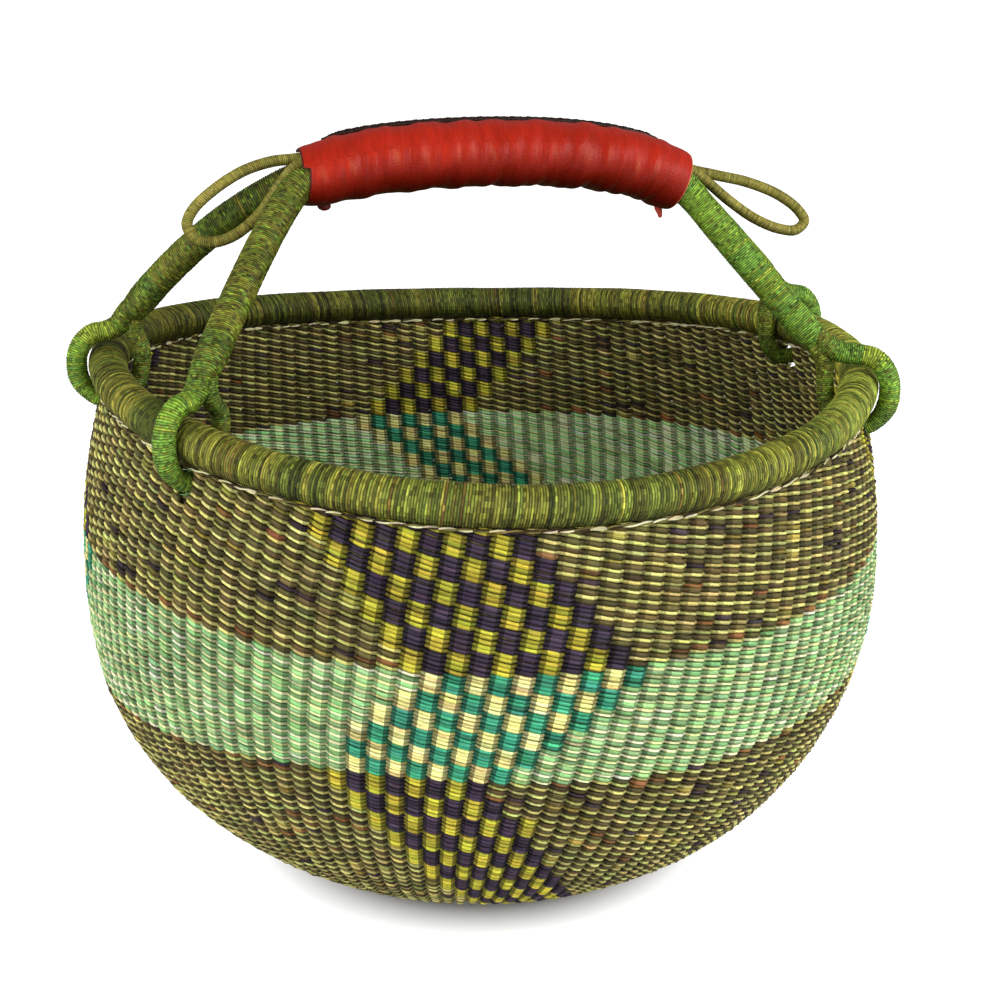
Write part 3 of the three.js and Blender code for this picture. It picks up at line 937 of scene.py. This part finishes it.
def make_weave():
    for zone, (node, slot) in ZONE_NODES.items():
        rows = [row for row in ROWS if row.zone == zone]
        pieces = int(np.ceil(sum(1 / row.step for row in rows) / ROWS_PER_PIECE))
        weights = np.cumsum([1 / row.step for row in rows])
        share = np.minimum((weights / weights[-1] * pieces - 1e-9).astype(int), pieces - 1)
        for number in range(pieces):
            rng = default_rng(100 + 10 * list(ZONE_NODES).index(zone) + number)
            skin = Skin()
            for row, place in zip(rows, share):
                if place != number:
                    continue
                for turn in (0, 1):
                    for start, stop, whole in open_spans(row):
                        weft_strand(skin, rng, row, turn, start, stop, whole)
            skin.piece(f"weave_{zone}_{number + 1}", WEAVE, "basket", slot, node)


make_weave()


# The stakes that the wefts go round

STAKE_HALF_WIDTH = 3.1
STAKE_HALF_DEPTH = 0.7
STAKE_SIDES = 6
STAKE_TINT = colour(150, 140, 84)


def make_stakes():
    rng = default_rng(7)
    skin = Skin()
    ends = {step: least for least, step in STAKE_STEP_AT}
    for stake in range(STAKES):
        step = next(step for step in (8, 4, 2, 1) if stake % step == 0)
        least_r = ends[step]
        rows = [row for row in ROWS[1::3] if row.r > least_r]
        for loop, _, _ in LOOPS.values():
            near = stake_angle(stake, 1, TEAL_TOP_Z)
            apart = (near - loop + pi) % (2 * pi) - pi
            if abs(apart) * TOP_R < HOLE_R + STAKE_HALF_WIDTH:
                least = hole_bottom(loop) - 2
                rows = [row for row in rows if row.z + row_lift(loop, row.z) < least]
        reach = array([row.reach for row in rows])
        z = array([row.z for row in rows])
        angle = stake_angle(stake, array([cell_of(row.number) for row in rows]), z)
        middle = on_line(reach, LINE_MIDDLE)
        normal = on_line(reach, LINE_OUT)
        radial = stack([cos(angle), sin(angle)], axis=1)
        r = middle[:, 0] - wall_pull(angle, z)
        centre = np.column_stack([radial * r[:, None], middle[:, 1] + row_lift(angle, z)])
        out = np.column_stack([radial * normal[:, :1], normal[:, 1]])
        side = np.column_stack([-radial[:, 1], radial[:, 0], 0 * angle])
        thin = np.minimum(1, middle[:, 0] * 2 * pi / STAKES * step / 8)[:, None, None]
        around = turns(STAKE_SIDES)
        across = side[:, None] * STAKE_HALF_WIDTH * cos(around)[:, None]
        through = out[:, None] * STAKE_HALF_DEPTH * sin(around)[:, None]
        grid = centre[:, None] + thin * (across + through)
        skin.tube(grid, jittered(rng, STAKE_TINT, len(reach) - 1))
    skin.piece("stakes", STRAW, "basket", "straw")


make_stakes()


# The rim, wrapped across all the way round, with a twisted cord in each corner under it

RIM_WRAPS = 1000
RIM_RELIEF = 0.4
RIM_ROUND = 24
RIM_TINTS = colour((138, 140, 52), (164, 160, 62), (112, 122, 46), (122, 134, 50))
RIM_PATCH = 26
RIM_ODD = colour(142, 118, 52)
RIM_ODD_SHARE = 0.02
RIM_JITTER = (0.26, 0.03)
RIM_UNDERSIDE_PAINTED_SHADE = ([-0.75, 0.1], [0.3, 1])    # painted shade by height on the tube, darker underneath
RIM_BACK_PAINTED_SHADE = ([0, 0.6], [1, 0.6])       # and painted shade by how far behind
# Painted light at the right and painted shade at the left
RIM_SIDE_PAINTED_LIGHT_AND_SHADE = ([-0.95, -0.6, 0.3, 0.8], [0.75, 1, 1, 1.75])
RIM_LEVELS = ([0.5, 1.0, 1.4], [0.16, 0.7, 0.14])    # of single wraps, and how many have them
EDGE_TURNS = 90
EDGE_PLY = 0.5            # a ply's share of the cord's radius
EDGE_SIDES = 6
EDGE_STEPS = 16           # to a turn
EDGE_TINTS = colour((244, 232, 184), (128, 118, 62), (62, 52, 32))
EDGE_SHARES = [0.45, 0.25, 0.3]


def make_rim():
    rng = default_rng(21)
    count = RIM_WRAPS * WRAP_STEPS
    places = arange(count) / WRAP_STEPS
    heights = rng.uniform(0.7, 1.15, RIM_WRAPS)
    relief = wrap_relief(places, heights, RIM_RELIEF)
    angle = 2 * pi * places / RIM_WRAPS
    around = -turns(RIM_ROUND)
    slow = 0.12 * sin(9 * angle) + 0.1 * sin(23 * angle + 1)
    r = RIM_TUBE_R - RIM_RELIEF + relief + slow
    out = r[:, None] * cos(around)
    up = r[:, None] * sin(around)
    slant = 0.006 * sin(around)[None] + 0.0025 * sin(31 * angle)[:, None]
    grid = rim_point(angle[:, None] + slant, out, up)
    tints = patchy(rng, RIM_WRAPS, RIM_TINTS, RIM_PATCH)
    tints = where((rng.random(RIM_WRAPS) < RIM_ODD_SHARE)[:, None], RIM_ODD, tints)
    wrap_angle = turns(RIM_WRAPS)
    # Painted shade behind and underneath and painted light at the right, times the wraps' own random
    # levels
    level = interp(sin(wrap_angle), *RIM_BACK_PAINTED_SHADE)
    level = level * interp(cos(wrap_angle), *RIM_SIDE_PAINTED_LIGHT_AND_SHADE)
    level = level * rng.choice(RIM_LEVELS[0], RIM_WRAPS, p=RIM_LEVELS[1])
    shade = level[:, None] * interp(sin(around), *RIM_UNDERSIDE_PAINTED_SHADE)
    tints = jittered(rng, tints, RIM_WRAPS, *RIM_JITTER)[:, None] * shade[..., None]
    tints = wrap_shades(rng, tints)
    skin = Skin()
    skin.tube(grid, tints, closed=True, fibre_along=False)
    skin.piece("rim", WRAPPED, "basket", "green_grass", "rim_wrap", "rim_core")


def edge_cord(name, node, side, seed):
    rng = default_rng(seed)
    out, down = edge_cord_place(side)
    steps = EDGE_TURNS * EDGE_STEPS
    angle = turns(steps)
    turn = EDGE_TURNS * angle
    ply = EDGE_CORD_R * EDGE_PLY
    around = -turns(EDGE_SIDES)
    skin = Skin()
    for number in range(2):
        place = turn + pi * number
        outs = out + (EDGE_CORD_R - ply) * cos(place)[:, None] + ply * cos(around)
        ups = -down + (EDGE_CORD_R - ply) * sin(place)[:, None] + ply * sin(around)
        chosen = rng.choice(len(EDGE_TINTS), EDGE_TURNS * 2, p=EDGE_SHARES)
        tints = jittered(rng, EDGE_TINTS[chosen], EDGE_TURNS * 2)
        tints = np.repeat(tints, EDGE_STEPS // 2, axis=0)
        skin.tube(rim_point(angle[:, None], outs, ups), tints, closed=True)
    skin.piece(name, STRAW, "basket", "straw", node)


make_rim()
edge_cord("edge_twist_outer", "edge_cord_outer", 1, 31)
edge_cord("edge_twist_inner", "edge_cord_inner", -1, 32)


# The handle's bows and legs, wrapped across, and the loops that their ends part into

HANDLE_WRAP = 1.0
HANDLE_RELIEF = 0.4
HANDLE_TINTS = colour((104, 106, 32), (92, 108, 36), (124, 120, 42))
# Radii, and how much painted light the wraps get, by shares along a bow and along a loop
BOW_RADII = ([0, 0.012, 0.03, 0.97, 0.988, 1], [4.2, 6.6, BOW_R, BOW_R, 6.6, 4.2])
BOW_LIT = ([0, 0.2, 0.65, 0.7, 1], [0.25, 0, 0.2, 1.0, 0.8])
LOOP_RADII = (
    [0, 0.1, 0.2, 0.5, 0.7, 0.9, 1],
    [4.4, 5.2, LOOP_R, LOOP_R, LOOP_INSIDE_R, LOOP_INSIDE_R, 3.6],
)
LOOP_LIT = ([0, 0.1, 0.2, 0.5, 0.65, 1], [0.1, 0.3, 0.85, 0.85, 0.3, 0.1])
BOW_TIP = 3               # how far a bow reaches beyond its fork's start
# The ends of a loop's strand in its leg: how far up from the fork, and how far beside the middle
TUCKS = [(15, 1.2), (7, 2.4)]


def grip_line(across=0.0, steps=200):
    return smooth([(HANDLE_X + x, HANDLE_Y + across, GRIP_Z + up) for x, up in GRIP_POINTS], steps)


def leg_points(place, end, outwards):
    """From the grip's end over the bend down to the fork, the direction there, and the fork."""
    angle, (out, sink), (fork_in, fork_up) = LOOPS[place]
    bend = end + outwards * out - (0, 0, sink)
    fork = rim_point(angle, -fork_in, fork_up)
    down = unit(fork - bend)
    stop = fork - down * (FORK_LENGTH + GAP)
    share = linspace(0, 1, 101)[:, None]
    bezier = end * (1 - share) ** 2 + 2 * bend * share * (1 - share) + stop * share ** 2
    return even(bezier, 8)[1:], down, fork


# A loop's middle line as (out, up), from the top over the rim down the outside and up the inside.
# Out is in shares of its half width, and up of its reach over the rim's middle or under it.
OVER_RIM = [(0, 1.02), (0.42, 0.95), (0.75, 0.71), (0.96, 0.34), (1, 0)]
UNDER_RIM = [
    (0.97, 0.3), (0.77, 0.67), (0.42, 0.95), (0, 1), (-0.45, 0.95), (-0.8, 0.68), (-1, 0.3),
    (-1.1, -0.5),
]


def strand_line(place, fork, down):
    """A loop's strand: out of the leg, outside round under the rim, and up inside into the leg."""
    angle, _, (fork_in, fork_up) = LOOPS[place]
    side = RIM_TUBE_R + STRAND_SIDE_GAP + LOOP_R
    over = RIM_TUBE_R + LOOP_R + travel(angle)
    radial = array([cos(angle), sin(angle), 0.0])
    points = [fork - up * down + beside * radial for up, beside in TUCKS]
    points.append(rim_point(angle, -0.55 * fork_in, over + 0.45 * (fork_up - over)))
    points.extend(rim_point(angle, out * side, up * over) for out, up in OVER_RIM)
    points.extend(rim_point(angle, out * side, -up * under_rim(angle)) for out, up in UNDER_RIM)
    points.append(rim_point(angle, -0.5 * fork_in - 8, 0.71 * fork_up))
    points.extend(fork - up * down - beside * radial for up, beside in TUCKS[::-1])
    return smooth(points, 400)


def loop_radii(place, line):
    """A table of shares along a loop's line and radii there, slimmer under the rim."""
    angle = LOOPS[place][0]
    share = linspace(0, 1, len(line))
    depth = RIM_Z + rim_lift(angle) - line[:, 2]
    most = interp(depth, [0, 0.8 * under_rim(angle)], [LOOP_R + 1, LOOP_UNDER_R])
    return share, np.minimum(interp(share, *LOOP_RADII), most)


def make_handle():
    for side, across, seed in (("front", -BOW_SPACING / 2, 41), ("back", BOW_SPACING / 2, 51)):
        rng = default_rng(seed)
        grip = grip_line(across)
        tangent = unit(np.gradient(grip, axis=0))
        legs = {
            f"{side}_left": leg_points(f"{side}_left", grip[0], -tangent[0]),
            f"{side}_right": leg_points(f"{side}_right", grip[-1], tangent[-1]),
        }
        left, right = [leg for leg, _, _ in legs.values()]
        tips = [fork - down * BOW_TIP for _, down, fork in legs.values()]
        path = smooth([tips[0], *left[::-1], *grip[::14], *right, tips[1]], 400)
        wraps = (HANDLE_TINTS, HANDLE_WRAP, HANDLE_RELIEF)
        skin = Skin()
        wrapped_tube(skin, rng, path, BOW_RADII, *wraps, lit=BOW_LIT)
        skin.piece(f"bow_{side}", WRAPPED, "handle", "handle_grass", f"{side}_bow")
        for place, (_, down, fork) in legs.items():
            line = strand_line(place, fork, down)
            skin = Skin()
            wrapped_tube(skin, rng, line, loop_radii(place, line), *wraps, lit=LOOP_LIT)
            skin.piece(f"loop_{place}", WRAPPED, "handle", "handle_grass", f"rim_loop_{place}")


make_handle()


# The leather sleeve, drawn tight round the bows, with its laced edge along the back

LEATHER_TINT = colour(190, 36, 10)
# The crest colour is a painted highlight on the crests of the creases
LEATHER_CREST_HIGHLIGHT = colour(204, 84, 54)
# The dark colour is painted shade, the colour of the sleeve's shaded underside, given to its inside
# and to the left lace tail
LEATHER_PAINTED_SHADE = colour(92, 20, 14)
LEATHER_LIP = colour(214, 130, 90)
SEAM_TINT = colour(44, 26, 20)
LACE_TINT = colour(206, 74, 62)
CREASE_APART = 9.5
CREST_MIDDLE = radians(167)    # round the sleeve, from its back over its top: where the creases and the painted highlights on their crests face
# how narrow the painted highlights are round the sleeve
CREST_HALF = 0.24
# painted shade in the grooves of the creases
CREASE_PAINTED_SHADE = 0.1
LEATHER_UNDERSIDE_PAINTED_SHADE = ([-0.85, -0.25, 0.35], [0.15, 0.52, 1])    # painted shade by height on the sleeve, darker underneath
SLEEVE_SLACK = 8          # the sleeve's line goes on so far past both ends of the grip
SLEEVE_START = 3.4
SLEEVE_SLANT = 3.8        # how far the left end is cut off slanting
SLEEVE_STOP = 2.8
FLAP = 3.2                # the upper layer reaches so much farther out at the left end
FLAP_FROM = radians(60)
FLAP_TO = radians(150)
DRAWN_IN = 3.2            # how far the left end is drawn in underneath
DRAWN_OVER = 16
SEAM_SETBACK = 15
SEAM_ANGLE = radians(19)
SEAM_HIGH = (2.0, 1.7)    # at its left and right end
SEAM_HALF = 1.8
LACE_APART = 7.5
LACE_SHARE = 12 / 185     # of the grip's line, from its ends to the lace's tails
LACE_SIDES = 12
LACE_STEPS = 30
SWELLS = 26               # random low waves on the sleeve
CREASE_HALF = 0.6
CREASE_HIGH = 0.1
LEATHER_STEPS = 220
LEATHER_ROUND = 64


def sleeve_frames(line):
    tangent = unit(np.gradient(line, axis=0))
    side = np.tile([0.0, 1.0, 0.0], (len(line), 1))
    return tangent, side, np.cross(tangent, side)


def make_leather():
    rng = default_rng(61)
    line = grip_line(0.0, LEATHER_STEPS)
    way = unit(array([line[0] - line[1], line[-1] - line[-2]])) * SLEEVE_SLACK
    line = even(vstack([line[0] + way[0], line, line[-1] + way[1]]), LEATHER_STEPS)
    length = length_of(line)
    around = turns(LEATHER_ROUND)
    flap = where((around > FLAP_FROM) & (around < FLAP_TO), FLAP, 0)
    start = SLEEVE_SLACK + SLEEVE_START + SLEEVE_SLANT * sin(around) - flap
    stop = length - SLEEVE_SLACK - SLEEVE_STOP
    share = linspace(0, 1, LEATHER_STEPS + 1)[:, None]
    reach = start + (stop - start) * share
    along = linspace(0, length, len(line))
    tables = [line, *sleeve_frames(line)]
    centre, tangent, side, up = [rows_at(reach, along, table) for table in tables]

    wander = 2.2 * sin(reach / 14 + 0.4) + 1.2 * sin(reach / 6.1) + 0.25 * sin(3 * around)
    crease = sin(2 * pi * reach / CREASE_APART + wander)
    facing = exp(-((around - CREST_MIDDLE) / CREASE_HALF) ** 2)
    swell = CREASE_HIGH * crease * facing
    for _ in range(SWELLS):
        wave = rng.uniform(7, 26)
        turn = rng.integers(1, 4)
        tilt = rng.uniform(0, 2 * pi)
        high = rng.uniform(0.03, 0.1)
        swell += high * sin(2 * pi * reach / wave + turn * around + tilt)
    from_end = np.minimum(reach - start, stop - reach)
    swell = swell * clip(from_end / 12, 0.25, 1) - 0.8 * exp(-from_end / 3)
    swell = np.minimum(swell, 0.6)
    swell -= DRAWN_IN * exp(-(reach - start) / DRAWN_OVER) * clip(-sin(around), 0, 1)

    def surface(depth):
        wide = (SLEEVE_HALF_WIDTH - depth + swell) * cos(around)
        high = (SLEEVE_HALF_HEIGHT - depth + swell) * sin(around)
        return centre + side * wide[..., None] + up * high[..., None]

    outer = surface(0)
    inner = surface(LEATHER)[::-1]
    lips = []
    ends = ((outer[-1], inner[0], tangent[-1]), (inner[-1], outer[0], -tangent[0]))
    for before, after, way in ends:
        middle = (before + after) / 2 + way * 0.7
        round_off = [ring * 0.6 + middle * 0.4 + way * 0.25 for ring in (before, after)]
        lips.append([round_off[0], middle, round_off[1]])
    grid = concatenate([outer, lips[0], inner, lips[1]])

    # Painted highlights on the crests at the front, painted shade in the grooves and underneath
    strength = (rng.uniform(0.1, 1, 40) ** 2)[(reach / CREASE_APART).astype(int)]
    narrow = exp(-((around - CREST_MIDDLE - 0.12 * sin(reach / 5)) / CREST_HALF) ** 2)
    pale = (clip(crease, 0, 1) ** 3 * narrow * strength)[..., None]
    shade = (1 - CREASE_PAINTED_SHADE * clip(-crease, 0, 1) * facing)[..., None]
    shade = shade * interp(sin(around), *LEATHER_UNDERSIDE_PAINTED_SHADE)[:, None]
    # Painted shade: the sleeve's inside and its left lip keep the dark colour
    tints = np.tile(LEATHER_PAINTED_SHADE, (len(grid), LEATHER_ROUND, 1))
    tints[:len(outer)] = (LEATHER_TINT * (1 - pale) + LEATHER_CREST_HIGHLIGHT * pale) * shade
    tints[len(outer) - 1:len(outer) + 2] = LEATHER_LIP
    skin = Skin()
    skin.tube(grid, tints, closed=True)
    replaced = ("grip_leather", "grip_padding_top", "grip_padding_bottom")
    skin.piece("grip_sleeve", RED, "handle", "red_leather", *replaced)


def make_seam():
    """The sleeve's laced edge, a flat strip that its lacing draws in at even steps."""
    rng = default_rng(62)
    line = grip_line(0.0, 400)
    reach = linspace(0, length_of(line), len(line))
    keep = (reach > SEAM_SETBACK) & (reach < reach[-1] - SEAM_SETBACK)
    tangent, side, up = sleeve_frames(line)
    out = side * sin(SEAM_ANGLE) + up * cos(SEAM_ANGLE)
    across = np.cross(tangent, out)
    foot = line + side * SLEEVE_HALF_WIDTH * sin(SEAM_ANGLE)
    foot = foot + up * SLEEVE_HALF_HEIGHT * cos(SEAM_ANGLE)
    drawn = 0.92 + 0.08 * np.abs(sin(pi * reach / LACE_APART))
    from_end = np.minimum(reach - SEAM_SETBACK, reach[-1] - SEAM_SETBACK - reach)
    full = drawn * clip(0.3 + from_end / 10, 0, 1)
    most = interp(reach, [SEAM_SETBACK, reach[-1] - SEAM_SETBACK], SEAM_HIGH)
    high = (most * full + 0.1 * sin(reach * 1.7) + 0.08 * sin(reach * 4.1))[:, None]
    half = SEAM_HALF * full[:, None]
    corners = [(-1, -0.4), (-0.9, 0.6), (-0.5, 1), (0.5, 1), (0.9, 0.6), (1, -0.4)]
    rows = [foot + across * half * wide + out * high * tall for wide, tall in corners]
    grid = stack(rows, axis=1)
    skin = Skin()
    skin.tube(grid[keep], jittered(rng, SEAM_TINT, keep.sum() - 1, 0.18))
    skin.piece("seam_lacing", RED, "handle", "seam_leather", "grip_seam")


def lace_tail(name, node, share, raised, long, wide, tint, seed):
    """The lace's tail, which hangs out of its knot under the sleeve."""
    rng = default_rng(seed)
    line = grip_line()
    at = line[int(share * (len(line) - 1))]
    top = at - (0, 0, SLEEVE_HALF_HEIGHT - 0.4 - raised)
    drop = linspace(0, long, LACE_STEPS + 1)
    sway = 0.6 * sin(drop / 2.1 + share * 5) - 0.6 * sin(share * 5)
    path = top + stack([sway, 0.4 * cos(drop / 1.7), -drop], axis=1)
    full = np.sqrt(clip(1 - (drop / long) ** 4, 0.02, 1))
    full = full * (0.75 + 0.25 * np.abs(sin(drop * 0.55 + 0.6)))
    around = turns(LACE_SIDES)
    across = wide * full[:, None] * cos(around)
    deep = -0.65 * wide * full[:, None] * sin(around)
    grid = path[:, None] + stack([across, deep, 0 * across], axis=2)
    skin = Skin()
    skin.tube(grid, jittered(rng, tint, LACE_STEPS, 0.05, 0.02))
    skin.piece(name, RED, "handle", "red_leather", node)


make_leather()
make_seam()
# The left tail takes the painted shade colour of the sleeve's underside
lace_tail("lace_tail_left", "lace_end_left", LACE_SHARE, 2, 3.6, 3.2, LEATHER_PAINTED_SHADE, 63)
lace_tail("lace_tail_right", "lace_end_right", 1 - LACE_SHARE, 0, 6.4, 1.9, LACE_TINT, 64)


# Floor, light and background

FLOOR_SIZE = 50
FLOOR_COLOUR = 0.8
FLOOR_LIFT = 0.02         # near the basket, where its shadow shows
FLOOR_LIFT_FAR = 1.0
SHADOW_NEAR = 0.092
SHADOW_FAR = 0.128
WORLD_LEVEL = 0.3


def make_floor():
    """A wide white sheet: it fades into the white background, and keeps the basket's shadow."""
    bpy.ops.mesh.primitive_plane_add(size=FLOOR_SIZE, location=(0, 0, 0))
    floor = bpy.context.object
    floor.name = "floor"
    shader = Shader("pale_floor", 0.9, 0.0)
    shader.give(shader.inputs["Base Color"], (FLOOR_COLOUR, FLOOR_COLOUR, FLOOR_COLOUR, 1))
    flat = shader.node("VectorMath", operation="LENGTH")
    shader.give(flat.inputs[0], shader.place())
    lift = shader.mapped(flat.outputs["Value"], SHADOW_NEAR, SHADOW_FAR, FLOOR_LIFT, FLOOR_LIFT_FAR)
    shader.give(shader.inputs["Emission Color"], (1, 1, 1, 1))
    shader.give(shader.inputs["Emission Strength"], shader.math("MULTIPLY", shader.seen(), lift))
    floor.data.materials.append(shader.material)


def make_lamp(name, place, target, size, power):
    data = bpy.data.lights.new(name, "AREA")
    data.energy = power
    data.size = size
    lamp = linked(name, data)
    lamp.location = place
    way = Vector(target) - Vector(place)
    lamp.rotation_euler = way.to_track_quat("-Z", "Y").to_euler()


def make_world():
    world = bpy.data.worlds.new("studio")
    bpy.context.scene.world = world
    nodes = Tree(world)
    inputs = nodes.tree.nodes["Background"].inputs
    nodes.give(inputs["Color"], (1, 1, 1, 1))
    nodes.give(inputs["Strength"], nodes.mapped(nodes.seen(), 0, 1, WORLD_LEVEL, 1))


make_floor()
make_lamp("key", (1.0, -1.03, 0.8), (0, 0, 0.2), 1.0, 15.5)
make_lamp("fill", (-1.25, -0.7, 0.7), (0, 0, 0.2), 1.0, 11)
make_world()
bpy.context.scene.view_settings.view_transform = "Standard"
